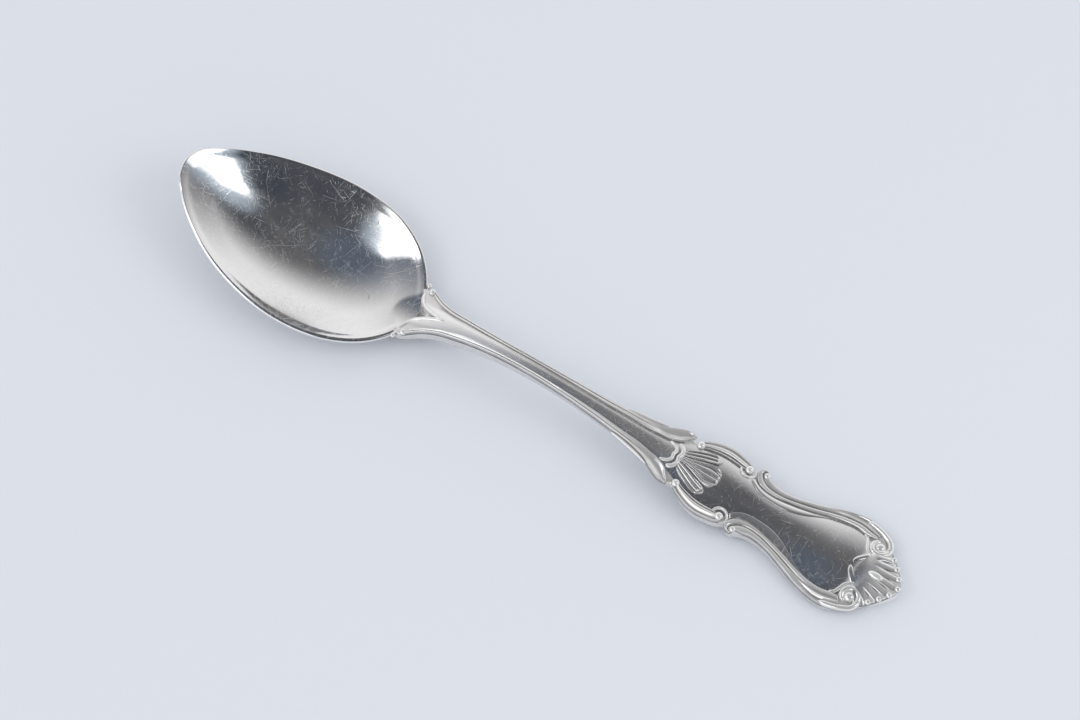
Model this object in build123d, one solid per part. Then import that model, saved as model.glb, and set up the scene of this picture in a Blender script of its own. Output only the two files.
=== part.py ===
from build123d import *
import os

os.makedirs("parts", exist_ok=True)

# Lengths along the spoon in millimetres, each from the end of the one before
bowl_length = 46.0       # bowl tip to heel
stem_length = 49.0       # heel to the foot of the shoulder leaves
collar_length = 5.0      # shoulder leaves to the collar beads
cartouche_length = 8.7   # collar beads to the waist beads
waist_length = 3.0       # waist beads to the volutes of the border
panel_length = 21.7      # volutes to the eyes of the scrolls at the tip
tip_length = 6.6         # eyes of the tip scrolls to the end of the handle

# Half widths in plan
bowl_half = 14.45
heel_half = 5.4
stem_half = 1.55
leaf_half = 5.2
cartouche_half = 6.75
panel_half = 8.8

# The inside of the bowl is part of an ellipsoid with these semi-axes
bowl_round_long = 40.5
bowl_round_wide = 26.7
bowl_round_tall = 40.0
bowl_wall = 0.9
rim_bevel = 0.2

# Heights of the floor between the ornaments, over the table
crest_height = 8.2
collar_height = 5.1
plate_thickness = 1.8

# Metal under the floor
heel_thickness = 2.6
stem_thickness = 2.8
collar_thickness = 2.0

# Relief over the floor
relief = 0.65
reed_width = 0.7
groove_width = 0.3
groove_depth = 0.4
bead_radius = 0.8
volute_radius = 1.0
tip_eye_radius = 1.5
flute_count = 7
flute_bead_radius = 0.5
flute_bead_inset = 1.3 * flute_bead_radius
flute_margin = 0.07      # share of the shell's edge before its first groove
flute_start = 0.42       # share of the way from the boss to the edge
flute_end = 1.1
boss_length = 2.8
boss_width = 1.4

# Stations along the spoon
heel = bowl_length
leaf_foot = heel + stem_length
collar = leaf_foot + collar_length
waist = collar + cartouche_length
volute = waist + waist_length
tip_eye = volute + panel_length
length = tip_eye + tip_length
crest = heel + 0.43 * stem_length
plate_start = leaf_foot + 0.45 * collar_length
leaf_end = leaf_foot + 0.72 * collar_length
rest_start = volute + 0.35 * panel_length
drop_end = 0.8 * bowl_length
drop_lift = 0.25
egg_end = 1.02 * bowl_length
floor_at_heel = 0.53 * crest_height
notch_depth = 0.25
bowl_low = 0.652 * bowl_length
rim_room = 0.6 * bowl_round_tall
side_room = 2 * panel_half
level = 0.5              # part of a face's normal along Z that tells a level face from a wall

# Places of the beads and eyes across the spoon
collar_bead_off = 0.6 * cartouche_half
waist_bead_off = 0.72 * cartouche_half
volute_off = 0.6 * panel_half
tip_eye_off = 0.56 * panel_half
shell_half = tip_eye_off + 0.55 * tip_eye_radius
shell_start = tip_eye + 0.24 * tip_length
shell_back = tip_eye - 0.3 * tip_length
boss_at = tip_eye + 0.29 * tip_length
leaf_bulge = 0.2 * cartouche_half


def at(u, v=0.0):
    """Plan point from a distance behind the bowl tip and one from the middle line."""
    return (u - length / 2, v)


def curve(points, **ends):
    """Smooth plan curve through points given by distance and offset."""
    return Spline([at(u, v) for u, v in points], **ends)


def between(first, second):
    """Plan face between two curves that run the same way."""
    return make_face([first, Line(first @ 1, second @ 1), second, Line(second @ 0, first @ 0)])


def both_sides(half):
    """Half a plan face joined with its mirror image over the middle line."""
    return half + mirror(half, about=Plane.XZ)


def disc(u, v, radius):
    return Pos(*at(u, v)) * Circle(radius)


def upright(face):
    """Upright prism on a plan face, taller than the spoon."""
    return extrude(face, amount=rim_room, dir=(0, 0, 1))


def floor_line(rise):
    """Side view of the floor of the handle, raised by a height."""
    points = [
        (0.9 * heel, 0.3 * crest_height),
        (heel + 0.12 * stem_length, 0.755 * crest_height),
        (crest, crest_height),
        (plate_start, collar_height),
        (volute, 0.65 * collar_height),
        (volute + 0.57 * panel_length, plate_thickness),
        (length, plate_thickness),
    ]
    return Spline([at(u, z + rise) for u, z in points], tangents=((1, 0.4), (1, 0)))


def wide(side_view):
    """Solid as wide as the spoon from a side view."""
    return extrude(Plane.XZ * side_view, amount=side_room, both=True)


def slab(low, high):
    """Layer between two heights over the floor."""
    return wide(between(floor_line(low), floor_line(high)))


def blank():
    """Layer of metal between the back of the spoon and the floor."""
    arch = Spline(
        [
            at(drop_end, drop_lift),
            at(heel, floor_at_heel - heel_thickness),
            at(crest, crest_height - stem_thickness),
            at(plate_start, collar_height - collar_thickness),
            at(rest_start, 0),
        ],
        tangents=((1, 0.1), (1, 0)),
    )
    upper = floor_line(0)
    seat = Line(arch @ 1, at(length, 0))
    return wide(make_face([arch, seat, Line(seat @ 1, upper @ 1), upper, Line(upper @ 0, arch @ 0)]))


def raised(face, low=0.0, high=relief):
    """Solid that stands on the floor over a plan face."""
    return upright(face) & slab(low, high)


def ellipsoid(wall):
    """Solid ellipsoid whose lower part shapes one face of the bowl wall."""
    ball = Rotation(0, 90, 0) * Sphere(1)
    semi_axes = (bowl_round_long + wall, bowl_round_wide + wall, bowl_round_tall + wall)
    return Pos(*at(bowl_low), bowl_wall + bowl_round_tall) * scale(ball, by=semi_axes)


def mirrored_points(points):
    """Points in reverse order on the other side of the middle line."""
    return [(u, -v) for u, v in reversed(points)]


def egg_face():
    """Outline of the bowl, a closed curve from the tip round the heel and back."""
    side = [
        (0.017 * bowl_length, 0.211 * bowl_half),
        (0.065 * bowl_length, 0.394 * bowl_half),
        (0.185 * bowl_length, 0.672 * bowl_half),
        (0.37 * bowl_length, 0.905 * bowl_half),
        (0.6 * bowl_length, bowl_half),
        (0.76 * bowl_length, 0.922 * bowl_half),
        (0.89 * bowl_length, 0.7 * bowl_half),
        (0.982 * bowl_length, 0.93 * heel_half),
    ]
    return make_face(curve([(0, 0)] + side + [(egg_end, 0)] + mirrored_points(side), periodic=True))


def bowl_envelope():
    """All that lies inside the outer face of the bowl, up to well over the rim."""
    return upright(egg_face()) & ellipsoid(bowl_wall)


def stem_edge():
    return curve(
        [
            (heel + 0.01 * stem_length, heel_half),
            (heel + 0.11 * stem_length, 0.54 * heel_half),
            (heel + 0.35 * stem_length, 1.05 * stem_half),
            (heel + 0.5 * stem_length, stem_half),
            (heel + 0.78 * stem_length, 1.4 * stem_half),
            (leaf_foot - 0.016 * stem_length, 0.7 * leaf_half),
            (plate_start, 0.95 * leaf_half),
        ],
        tangents=((0.5, -1), (1, 0.3)),
    )


def leaf_edge():
    start = stem_edge() @ 1
    tip = at(leaf_end, 0.88 * leaf_half)
    return ThreePointArc(start, at(leaf_end - 0.06 * collar_length, leaf_half), tip)


def reed_edge():
    """Inner edge of the reed, from the heel to the tip of its leaf."""
    return curve(
        [
            (heel + 0.03 * stem_length, 0.63 * heel_half),
            (heel + 0.1 * stem_length, 0.36 * heel_half),
            (heel + 0.22 * stem_length, 0.87 * stem_half),
            (heel + 0.5 * stem_length, 0.55 * stem_half),
            (heel + 0.78 * stem_length, 0.68 * stem_half),
            (leaf_foot, 0.34 * leaf_half),
            (plate_start, 0.48 * leaf_half),
            (leaf_end - 0.06 * collar_length, 0.7 * leaf_half),
        ]
    )


def cartouche_edge():
    return curve(
        [
            (collar - 0.08 * cartouche_length, 0.63 * cartouche_half),
            (collar + 0.2 * cartouche_length, 0.89 * cartouche_half),
            (collar + 0.6 * cartouche_length, cartouche_half),
            (waist + 0.05 * cartouche_length, 0.86 * cartouche_half),
        ]
    )


def border_edge():
    return curve(
        [
            (volute + 0.06 * panel_length, 0.61 * panel_half),
            (volute + 0.14 * panel_length, 0.58 * panel_half),
            (volute + 0.5 * panel_length, 0.81 * panel_half),
            (volute + 0.81 * panel_length, panel_half),
            (tip_eye + 0.06 * panel_length, 0.72 * panel_half),
        ]
    )


def border_inner():
    return curve(
        [
            (volute - 0.03 * panel_length, 0.52 * panel_half),
            (volute + 0.06 * panel_length, 0.36 * panel_half),
            (volute + 0.27 * panel_length, 0.42 * panel_half),
            (volute + 0.57 * panel_length, 0.625 * panel_half),
            (volute + 0.78 * panel_length, 0.7 * panel_half),
            (volute + 0.905 * panel_length, 0.62 * panel_half),
        ]
    )


def shell_edge():
    """Edge of the handle round the tip, from one border to the other."""
    side = [
        (shell_start, shell_half),
        (tip_eye + 0.45 * tip_length, 0.94 * shell_half),
        (tip_eye + 0.74 * tip_length, 0.62 * shell_half),
        (tip_eye + 0.95 * tip_length, 0.25 * shell_half),
    ]
    return curve(side + [(length, 0)] + mirrored_points(side))


def bowl():
    shell = bowl_envelope() - ellipsoid(0)
    walls = [face for face in shell.faces() if abs(face.normal_at().Z) < level]
    return chamfer(ShapeList(walls[0].edges()), rim_bevel)


def stem_face():
    edge = stem_edge()
    drop = curve([(drop_end, 0), (heel + 0.01 * stem_length, heel_half)], tangents=((0, 1), (1, 0)))
    end = Line(edge @ 1, at(plate_start))
    return both_sides(make_face([drop, edge, end, Line(end @ 1, drop @ 0)]))


def stem():
    notch = raised(both_sides(heel_hollow()), -notch_depth, 0)
    return (upright(stem_face()) & blank()) - bowl_envelope() - notch


def heel_hollow():
    """Half of the pointed hollow that leads from the bowl up on to the stem."""
    side = heel_scroll_path()
    return make_face([side, Line(side @ 1, at(drop_end)), Line(at(drop_end), side @ 0)])


def heel_scroll_path():
    return curve(
        [
            (heel + 0.13 * stem_length, 0.0),
            (heel + 0.06 * stem_length, 0.27 * heel_half),
            (heel + 0.012 * stem_length, 0.8 * heel_half),
        ]
    )


def plate_face():
    leaf = leaf_edge()
    cartouche = cartouche_edge()
    border = border_edge()
    start = Line(at(plate_start), leaf @ 0)
    leaf_notch = Line(leaf @ 1, cartouche @ 0)
    waist_notch = Line(cartouche @ 1, border @ 0)
    tip_notch = Line(border @ 1, at(shell_start, shell_half))
    end = Line(tip_notch @ 1, at(shell_start))
    middle = Line(end @ 1, start @ 0)
    half = make_face([start, leaf, leaf_notch, cartouche, waist_notch, border, tip_notch, end, middle])
    shell = shell_edge()
    tip = make_face([shell, Line(shell @ 1, shell @ 0)])
    return both_sides(half + disc(volute, volute_off, volute_radius)) + tip


def handle_plate():
    return upright(plate_face()) & blank()


def grooved(face, paths):
    """Raised band with grooves along paths."""
    band = raised(face)
    for path in paths:
        band -= raised(trace(path, groove_width), relief - groove_depth, 2 * relief)
    return band


def blend(first, second, share):
    """Curve that runs at a share of the way from one curve to another."""
    steps = 8
    points = []
    for i in range(steps + 1):
        near = first @ (i / steps)
        points.append(near + (second @ (i / steps) - near) * share)
    return Spline(points)


def floor_height(u):
    """Height of the floor at a distance behind the bowl tip."""
    upright_line = Line(at(u, -crest_height), at(u, 2 * crest_height))
    return floor_line(0).distance_to_with_closest_points(upright_line)[1].Y


def dome(u, v, ball):
    """Upper half of a ball or drop, seated on the floor."""
    return Pos(*at(u, v), floor_height(u)) * ball & slab(0, crest_height)


def heel_eye():
    return disc(heel + 0.012 * stem_length, 0.8 * heel_half, bead_radius)


def heel_rib():
    return trace(heel_scroll_path(), reed_width) + heel_eye()


def heel_scroll():
    half_room = make_face(Polyline(at(0), at(length), at(length, side_room), at(0, side_room), close=True))
    return raised((heel_rib() & half_room) - egg_face())


def stem_reed():
    outer = stem_edge()
    leaf = leaf_edge()
    inner = reed_edge()
    face = make_face([outer, leaf, Line(leaf @ 1, inner @ 1), inner, Line(inner @ 0, outer @ 0)])
    reed = raised(face - heel_rib() - egg_face())
    hollow_start = at(leaf_foot - 0.06 * stem_length, 0.47 * leaf_half)
    hollow_end = at(leaf_end - 0.1 * collar_length, 0.88 * leaf_half)
    hollow = trace(Line(hollow_start, hollow_end), reed_width)
    reed -= raised(hollow, relief - groove_depth, 2 * relief)
    return reed.solids().sort_by(SortBy.VOLUME)[-1]


def stem_brace():
    lobe = ThreePointArc(
        at(leaf_foot + 0.1 * collar_length, 0.27 * leaf_half),
        at(plate_start, 0.17 * leaf_half),
        at(leaf_foot + 0.22 * collar_length),
    )
    return raised(both_sides(trace(lobe, groove_width)))


def leaf_lens(foot, tip, bulge):
    """Pointed leaf between two arcs, with a vein along its middle."""
    rim_1 = SagittaArc(foot, tip, bulge)
    rim_2 = SagittaArc(foot, tip, -bulge)
    return grooved(make_face([rim_1, rim_2]), [Line(foot, tip)])


def collar_leaf_middle():
    return leaf_lens(at(leaf_end - 0.04 * collar_length), at(collar + 0.62 * cartouche_length), leaf_bulge)


def collar_leaf():
    foot = at(leaf_end + 0.02 * collar_length, 0.25 * cartouche_half)
    tip = at(collar + 0.36 * cartouche_length, 0.51 * cartouche_half)
    return leaf_lens(foot, tip, 0.6 * leaf_bulge)


def collar_bead():
    return dome(collar, collar_bead_off, Sphere(bead_radius))


def waist_bead():
    return dome(waist, waist_bead_off, Sphere(bead_radius))


def waist_scroll():
    outer = cartouche_edge()
    inner = curve(
        [
            (collar + 0.1 * cartouche_length, 0.59 * cartouche_half),
            (collar + 0.5 * cartouche_length, 0.68 * cartouche_half),
            (waist - 0.1 * cartouche_length, 0.66 * cartouche_half),
        ]
    )
    face = between(outer, inner)
    face -= disc(collar, collar_bead_off, bead_radius)
    face -= disc(waist, waist_bead_off, bead_radius)
    return grooved(face, [blend(outer, inner, 0.5)])


def tip_eye_disc():
    return disc(tip_eye, tip_eye_off, tip_eye_radius)


def border_scroll():
    outer = border_edge()
    inner = border_inner()
    face = between(outer, inner) + disc(volute, volute_off, volute_radius) + tip_eye_disc()
    return grooved(face, [blend(outer, inner, share) for share in (0.35, 0.68)])


def flute_bead(point):
    """Small ball at the end of a flute, half sunk in the top of the shell."""
    inward = (Vector(*at(boss_at)) - point).normalized()
    spot = point + inward * flute_bead_inset
    return Pos(spot.X, spot.Y, plate_thickness + relief) * Sphere(flute_bead_radius)


def flute_line(end):
    """Groove line from near the boss to just past a point on the edge."""
    middle = Vector(*at(boss_at))
    return Line(middle + (end - middle) * flute_start, middle + (end - middle) * flute_end)


def tip_shell():
    edge = shell_edge()
    back = ThreePointArc(edge @ 0, at(shell_back), edge @ 1)
    face = make_face([edge, back])
    face -= both_sides(tip_eye_disc() + between(border_edge(), border_inner()))
    face -= Pos(*at(boss_at)) * Ellipse(boss_length / 2, boss_width / 2)
    ends = [edge @ (flute_margin + (1 - 2 * flute_margin) * i / flute_count) for i in range(flute_count + 1)]
    shell = grooved(face, [flute_line(end) for end in ends])
    for first, second in zip(ends, ends[1:]):
        shell += flute_bead((first + second) / 2)
    return shell


def tip_boss():
    return dome(boss_at, 0, scale(Sphere(boss_width / 2), by=(boss_length / boss_width, 1, 1)))


pieces = {
    "bowl": bowl(),
    "stem": stem(),
    "handle_plate": handle_plate(),
    "stem_brace": stem_brace(),
    "collar_leaf_middle": collar_leaf_middle(),
    "tip_shell": tip_shell(),
    "tip_boss": tip_boss(),
}
mirrored = {
    "heel_scroll": heel_scroll(),
    "stem_reed": stem_reed(),
    "collar_leaf": collar_leaf(),
    "collar_bead": collar_bead(),
    "waist_scroll": waist_scroll(),
    "waist_bead": waist_bead(),
    "border_scroll": border_scroll(),
}
for name, right in mirrored.items():
    pieces[name + "_right"] = right
    pieces[name + "_left"] = mirror(right, about=Plane.XZ)
for name, piece in pieces.items():
    export_step(piece, f"parts/{name}.step")
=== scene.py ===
import bisect
import math

import bmesh
import bpy
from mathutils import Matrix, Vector


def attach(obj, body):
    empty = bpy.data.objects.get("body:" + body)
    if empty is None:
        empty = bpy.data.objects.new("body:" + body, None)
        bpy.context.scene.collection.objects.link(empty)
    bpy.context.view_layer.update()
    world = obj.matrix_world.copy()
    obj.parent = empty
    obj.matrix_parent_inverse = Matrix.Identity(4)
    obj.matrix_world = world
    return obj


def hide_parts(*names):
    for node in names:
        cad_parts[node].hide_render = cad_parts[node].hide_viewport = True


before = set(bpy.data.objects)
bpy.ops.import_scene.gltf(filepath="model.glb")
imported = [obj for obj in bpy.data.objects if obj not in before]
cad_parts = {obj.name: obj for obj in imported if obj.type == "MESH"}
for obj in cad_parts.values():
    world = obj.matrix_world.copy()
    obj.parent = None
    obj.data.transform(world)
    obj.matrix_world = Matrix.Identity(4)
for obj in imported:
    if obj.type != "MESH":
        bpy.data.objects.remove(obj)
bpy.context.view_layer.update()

# Bowl
# An egg-shaped silver shell, part of an ellipsoid, struck in one with the stem and filed round at its rim.
# It is polished bright, and years of stirring have left hairlines and small dents in it.

# In millimetres: u runs from the bowl tip to the end of the handle, v from the middle line outwards, z up
MM = 0.001
LENGTH = 140.0
BOWL_AXES = (40.5, 26.7, 40.0)
BOWL_WALL = 0.9
BOWL_LOW = 30.0
BOWL_MIDDLE = 27.0
BOWL_TIP = (0.0, 0.0)
BOWL_SIDE = [
    (0.78, 3.05), (2.99, 5.69), (8.51, 9.71), (17.02, 13.08), (27.6, 14.45),
    (34.96, 13.32), (40.94, 10.12), (45.17, 5.02),
]
BOWL_HEEL = (46.92, 0.0)
OUTLINE_STEPS = 2000

# The wall bends out over its last millimetres, and a faint step runs round inside the rim
FLARE = 6.0
FLARE_DROP = 0.72
RIM_STEP = 0.06
RIM_STEP_FROM = 1.7
RIM_STEP_TO = 0.85

# Distance inside the outline and share of the way down, for points round the lip of the rim
LIP = [(0.5, 0.0), (0.34, 0.0), (0.02, 0.1), (-0.18, 0.27), (-0.24, 0.62), (-0.14, 1.0)]
LIP_START = 0.46
LIP_END = 0.56

# Bed of the hollow that cuts the wall at the heel
HOLLOW_START = 3.2
HOLLOW_RISE = 0.1
HOLLOW_SPREAD = 0.05
HOLLOW_HALF = 4.6

SILVER = (0.95, 0.94, 0.93, 1.0)
SILVER_WARM = (0.93, 0.912, 0.89, 1.0)
# Dark colour of the tarnish film and the painted shade in the recesses, grooves and hollows
TARNISH_AND_SHADE_COLOUR = (0.09, 0.084, 0.08, 1.0)
SILVER_IOR = 1.45
FROST_METALLIC = 0.54
HAIRLINE_METALLIC = 0.33

# Roughness of the bright metal, and what scuffs, hairlines, frosting and the tarnish film with its painted
# shade add to it
POLISH_LOW = 0.06
POLISH_HIGH = 0.13
SCUFF_ROUGH = 0.1
HAIRLINE_ROUGH = 0.2
FROST_ROUGH = 0.08
FILM_AND_SHADE_ROUGH = 0.15

# Depth of the marks in the surface, as shares of the bump's distance in metres
HAIRLINE_DEPTH = -0.12
DENT_DEPTH = -1.0
HAZE_DEPTH = 0.1
BUMP_STRENGTH = 0.35
BUMP_DISTANCE = 0.00003

# About how many patches, cells or grains there are to a metre
WORN_PATCHES = 120.0
DENT_CELLS = 420.0
SMUDGE_PATCHES = 95.0
HAZE_GRAINS = 2600.0
FILM_AND_SHADE_PATCHES = 330.0

# For each set of hairlines: turn in degrees, length and width in millimetres, and the least peak that shows
HAIRLINES = [
    (38.0, 6.0, 0.075, 0.79), (-47.0, 4.4, 0.07, 0.79), (14.0, 5.2, 0.075, 0.8), (72.0, 3.4, 0.07, 0.79),
    (-18.0, 3.8, 0.07, 0.79), (-71.0, 2.8, 0.065, 0.79), (55.0, 2.2, 0.06, 0.78), (88.0, 4.6, 0.07, 0.79),
    (-32.0, 1.7, 0.06, 0.78), (27.0, 1.3, 0.06, 0.78), (-58.0, 1.0, 0.055, 0.77), (5.0, 0.8, 0.055, 0.77),
]
HAIRLINE_FADE = 0.09


def polished_silver():
    """Bright silver with hairlines, dents and smudges, frosted on the relief, with a tarnish film and
    painted shade in its recesses.
    """
    material = bpy.data.materials.new("polished_silver")
    material.use_nodes = True
    nodes = material.node_tree.nodes
    link = material.node_tree.links.new
    nodes.clear()

    def node(kind, **settings):
        made = nodes.new("ShaderNode" + kind)
        for name, value in settings.items():
            setattr(made, name, value)
        return made

    def feed(target, value):
        if hasattr(value, "is_output"):
            link(value, target)
        else:
            target.default_value = value

    def math_node(operation, first, second):
        made = node("Math", operation=operation)
        feed(made.inputs[0], first)
        feed(made.inputs[1], second)
        return made.outputs[0]

    def plus(first, second):
        return math_node("ADD", first, second)

    def times(first, second):
        return math_node("MULTIPLY", first, second)

    def ramp(value, low, high, start, end):
        made = node("MapRange", clamp=True, interpolation_type="SMOOTHSTEP")
        feed(made.inputs["Value"], value)
        made.inputs["From Min"].default_value = low
        made.inputs["From Max"].default_value = high
        made.inputs["To Min"].default_value = start
        made.inputs["To Max"].default_value = end
        return made.outputs["Result"]

    def turned(angle, stretch):
        made = node("Mapping", vector_type="TEXTURE")
        link(whole, made.inputs["Vector"])
        made.inputs["Rotation"].default_value = (0.0, 0.0, math.radians(angle))
        made.inputs["Scale"].default_value = stretch
        return made.outputs["Vector"]

    def noise(vector, scale, detail, rough=0.5):
        made = node("TexNoise", noise_dimensions="3D")
        link(vector, made.inputs["Vector"])
        made.inputs["Scale"].default_value = scale
        made.inputs["Detail"].default_value = detail
        made.inputs["Roughness"].default_value = rough
        return made.outputs["Fac"]

    def attribute(name):
        return node("Attribute", attribute_name=name, attribute_type="GEOMETRY").outputs["Fac"]

    def mix(factor, first, second):
        made = node("Mix", data_type="RGBA", blend_type="MIX")
        feed(made.inputs["Factor"], factor)
        feed(made.inputs["A"], first)
        feed(made.inputs["B"], second)
        return made.outputs["Result"]

    whole = node("TexCoord").outputs["Object"]
    satin = attribute("satin")
    polish = math_node("SUBTRACT", 1.0, satin)

    # Hairlines are the peaks of noise stretched long in several directions, more of them where it is worn
    worn = ramp(noise(whole, WORN_PATCHES, 2.0), 0.3, 0.7, -0.02, 0.04)
    hairlines = None
    for angle, length, width, peak in HAIRLINES:
        grain = noise(turned(angle, (length * MM, width * MM, length * MM)), 1.0, 0.0)
        layer = ramp(plus(grain, worn), peak, peak + HAIRLINE_FADE, 0.0, 1.0)
        hairlines = layer if hairlines is None else math_node("MAXIMUM", hairlines, layer)
    hairlines = times(hairlines, polish)

    # Dents are small and round, one in each of a few cells
    cells = node("TexVoronoi", feature="F1", voronoi_dimensions="3D")
    link(whole, cells.inputs["Vector"])
    cells.inputs["Scale"].default_value = DENT_CELLS
    dent = ramp(cells.outputs["Distance"], 0.05, 0.12, 1.0, 0.0)
    draw = node("SeparateColor")
    link(cells.outputs["Color"], draw.inputs["Color"])
    dents = times(dent, ramp(draw.outputs["Red"], 0.8, 0.86, 0.0, 1.0))

    # Scuffs are fine grains that gather in smudges
    smudge = noise(whole, SMUDGE_PATCHES, 4.0, 0.65)
    haze = noise(whole, HAZE_GRAINS, 2.0, 0.6)
    scuffs = times(ramp(haze, 0.5, 0.72, 0.0, 1.0), ramp(smudge, 0.35, 0.65, 0.25, 1.0))
    scuffs = times(scuffs, polish)

    # A dark tarnish film with painted shade lies in the recesses, grooves and hollows, a little uneven
    film_and_shade = times(attribute("tarnish_and_shade"), ramp(noise(whole, FILM_AND_SHADE_PATCHES, 2.0), 0.2, 0.75, 0.7, 1.0))

    shader = node("BsdfPrincipled")
    shader.inputs["IOR"].default_value = SILVER_IOR
    frosted = ramp(satin, 0.0, 1.0, 1.0, FROST_METALLIC)
    link(math_node("SUBTRACT", frosted, times(hairlines, HAIRLINE_METALLIC)), shader.inputs["Metallic"])

    tone = mix(ramp(smudge, 0.35, 0.75, 0.0, 0.6), SILVER, SILVER_WARM)
    link(mix(film_and_shade, tone, TARNISH_AND_SHADE_COLOUR), shader.inputs["Base Color"])

    rough = plus(ramp(smudge, 0.3, 0.7, POLISH_LOW, POLISH_HIGH), times(scuffs, SCUFF_ROUGH))
    rough = plus(rough, times(hairlines, HAIRLINE_ROUGH))
    rough = plus(rough, times(satin, FROST_ROUGH))
    rough = plus(rough, times(film_and_shade, FILM_AND_SHADE_ROUGH))
    link(rough, shader.inputs["Roughness"])

    marks = plus(times(hairlines, HAIRLINE_DEPTH), times(dents, DENT_DEPTH))
    marks = plus(marks, times(times(haze, polish), HAZE_DEPTH))
    bump = node("Bump")
    bump.inputs["Strength"].default_value = BUMP_STRENGTH
    bump.inputs["Distance"].default_value = BUMP_DISTANCE
    link(marks, bump.inputs["Height"])
    link(bump.outputs["Normal"], shader.inputs["Normal"])

    out = node("OutputMaterial")
    link(shader.outputs["BSDF"], out.inputs["Surface"])
    return material


silver = polished_silver()


def smooth(marks, values):
    """Function that runs smoothly through values given at rising marks."""
    runs = [(b - a) / (y - x) for x, y, a, b in zip(marks, marks[1:], values, values[1:])]
    leans = [runs[0]]
    for i in range(1, len(runs)):
        near = marks[i] - marks[i - 1]
        far = marks[i + 1] - marks[i]
        leans.append((runs[i - 1] * far + runs[i] * near) / (near + far))
    leans.append(runs[-1])

    def value(mark):
        mark = min(max(mark, marks[0]), marks[-1])
        i = min(bisect.bisect(marks, mark) - 1, len(marks) - 2)
        span = marks[i + 1] - marks[i]
        t = (mark - marks[i]) / span
        bend = t * t * (3 - 2 * t)
        hold = values[i] * (1 - bend) + values[i + 1] * bend
        return hold + leans[i] * (span * t * (1 - t) ** 2) - leans[i + 1] * (span * t * t * (1 - t))

    return value


def ease(value, low, high):
    """Soft step from 0 at low to 1 at high."""
    t = min(max((value - low) / (high - low), 0.0), 1.0)
    return t * t * (3 - 2 * t)


def way(points):
    """Plan curve through points, as a function of the share of its length."""
    spots = [Vector(point) for point in points]
    marks = [0.0]
    for near, far in zip(spots, spots[1:]):
        marks.append(marks[-1] + (far - near).length)
    run = smooth(marks, spots)
    return lambda share: run(share * marks[-1])


def over_middle(points):
    """Plan points that end on the middle line, followed by their mirror images."""
    return points + [(u, -v) for u, v in reversed(points[:-1])]


def new_metal():
    """Empty mesh whose points know how much tarnish film and painted shade darkens them and how frosted
    they are.
    """
    metal = bmesh.new()
    metal.verts.layers.float.new("tarnish_and_shade")
    metal.verts.layers.float.new("satin")
    return metal


def loft(metal, rings, around, spot):
    """Closed skin that shuts in a point at both ends; spot gives a place and how much tarnish film and
    painted shade darkens it.
    """
    tarnish_and_shade = metal.verts.layers.float["tarnish_and_shade"]
    made = bmesh.ops.create_uvsphere(metal, u_segments=around, v_segments=rings, radius=1.0)
    for vert in made["verts"]:
        along = 0.5 - math.asin(max(-1.0, min(1.0, vert.co.z))) / math.pi
        turn = math.atan2(vert.co.y, vert.co.x) / math.tau % 1.0
        u, v, z, darkening = spot(along, turn)
        vert.co = (u - LENGTH / 2, v, z)
        vert[tarnish_and_shade] = darkening


def silver_piece(name, metal, node, satin=1.0):
    """Makes a mesh drawn in millimetres into the piece of the spoon that stands for a node."""
    frost = metal.verts.layers.float["satin"]
    for vert in metal.verts:
        vert[frost] = satin(vert.co.x + LENGTH / 2, abs(vert.co.y)) if callable(satin) else satin
    bmesh.ops.scale(metal, vec=(MM, MM, MM), verts=metal.verts)
    bmesh.ops.recalc_face_normals(metal, faces=metal.faces)
    mesh = bpy.data.meshes.new(name)
    metal.to_mesh(mesh)
    metal.free()
    mesh.polygons.foreach_set("use_smooth", [True] * len(mesh.polygons))
    mesh.materials.append(silver)
    piece = bpy.data.objects.new(name, mesh)
    bpy.context.scene.collection.objects.link(piece)
    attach(piece, "root")
    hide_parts(node)


def round_height(u, v, wall):
    """Height of the ellipsoid that shapes the inside, or with the wall the outside, of the bowl."""
    along, across, tall = (axis + wall for axis in BOWL_AXES)
    fall = 1 - ((u - BOWL_LOW) / along) ** 2 - (v / across) ** 2
    return BOWL_AXES[2] + BOWL_WALL - tall * math.sqrt(max(fall, 0.0))


bowl_ring = over_middle([BOWL_TIP] + BOWL_SIDE + [BOWL_HEEL])[:-1]
bowl_line = way(bowl_ring[-2:] + bowl_ring + bowl_ring[:2])
bowl_reach = set()
for step in range(OUTLINE_STEPS):
    spoke = bowl_line(step / (OUTLINE_STEPS - 1)) - Vector((BOWL_MIDDLE, 0.0))
    bowl_reach.add((math.atan2(spoke.y, spoke.x) % math.tau, spoke.length))
bowl_reach = sorted(bowl_reach)


def bowl_edge(turn):
    """Distance from the middle of the bowl to its outline."""
    angle = turn * math.tau
    i = bisect.bisect(bowl_reach, (angle, 0.0))
    near = bowl_reach[(i - 1) % len(bowl_reach)]
    far = bowl_reach[i % len(bowl_reach)]
    gap = (far[0] - near[0]) % math.tau
    share = ((angle - near[0]) % math.tau) / gap if gap > 1e-9 else 0.0
    return near[1] + (far[1] - near[1]) * share


def heel_bed(u, v):
    """Height of the hollow that cuts the wall of the bowl at the heel and leads on to the stem."""
    outside = max(abs(v) - HOLLOW_HALF, 0.0)
    return HOLLOW_START + HOLLOW_RISE * (u - BOWL_HEEL[0]) + HOLLOW_SPREAD * v * v + outside


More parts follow.
